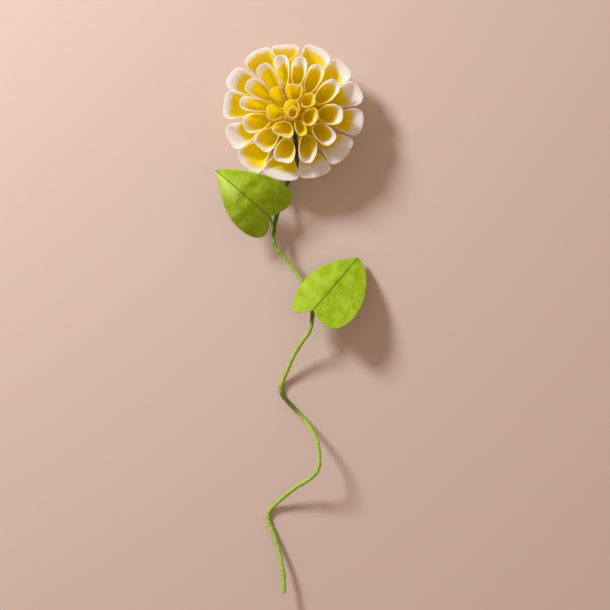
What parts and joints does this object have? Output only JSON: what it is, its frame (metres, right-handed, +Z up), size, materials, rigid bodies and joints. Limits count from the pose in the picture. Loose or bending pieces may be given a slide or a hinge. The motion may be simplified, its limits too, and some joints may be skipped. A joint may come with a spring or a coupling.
{
  "type": "paper flower",
  "caption": "Crepe-paper dahlia with white-tipped yellow scooped petals on a zig-zag tape-wrapped wire stem with heart-shaped leaves, lying face up.",
  "frame": {"origin": "under the middle of the whole flower, on the surface that it lies on", "axes": "+Y from the stem's cut end to the top of the flower head, +Z up out of the open face of the head, +X to the right as seen from above"},
  "size_m": [0.0948, 0.3472, 0.0364],
  "materials": {
    "inner_petal_paper": "matte crepe paper, golden yellow with a thin cream edge",
    "middle_petal_paper": "matte crepe paper, golden yellow with a narrow cream rim",
    "outer_petal_paper": "matte crepe paper, golden yellow with dyed off-white tips",
    "core_paper": "matte wound paper",
    "stem_tape_paper": "waxy green florist's tape in a close spiral",
    "leaf_paper": "matte crinkled crepe paper, yellow-green",
    "stem_wire": "cut steel wire"
  },
  "bodies": {
    "root": {"calyx_wrap": "stem_tape_paper", "centre_roll": "inner_petal_paper", "centre_wrap": "inner_petal_paper", "leaf_lower": "leaf_paper", "leaf_stalk_lower": "stem_tape_paper", "leaf_stalk_upper": "stem_tape_paper", "leaf_upper": "leaf_paper", "petal_core": "core_paper", "petal_inner_01": "inner_petal_paper", "petal_inner_02": "inner_petal_paper", "petal_inner_03": "inner_petal_paper", "petal_inner_04": "inner_petal_paper", "petal_inner_05": "inner_petal_paper", "petal_inner_06": "inner_petal_paper", "petal_inner_07": "inner_petal_paper", "petal_middle_01": "middle_petal_paper", "petal_middle_02": "middle_petal_paper", "petal_middle_03": "middle_petal_paper", "petal_middle_04": "middle_petal_paper", "petal_middle_05": "middle_petal_paper", "petal_middle_06": "middle_petal_paper", "petal_middle_07": "middle_petal_paper", "petal_middle_08": "middle_petal_paper", "petal_middle_09": "middle_petal_paper", "petal_middle_10": "middle_petal_paper", "petal_middle_11": "middle_petal_paper", "petal_middle_12": "middle_petal_paper", "petal_middle_13": "middle_petal_paper", "petal_outer_01": "outer_petal_paper", "petal_outer_02": "outer_petal_paper", "petal_outer_03": "outer_petal_paper", "petal_outer_04": "outer_petal_paper", "petal_outer_05": "outer_petal_paper", "petal_outer_06": "outer_petal_paper", "petal_outer_07": "outer_petal_paper", "petal_outer_08": "outer_petal_paper", "petal_outer_09": "outer_petal_paper", "petal_outer_10": "outer_petal_paper", "petal_outer_11": "outer_petal_paper", "petal_outer_12": "outer_petal_paper", "petal_outer_13": "outer_petal_paper", "stem_tape": "stem_tape_paper", "stem_wire": "stem_wire"}
  },
  "joints": []
}
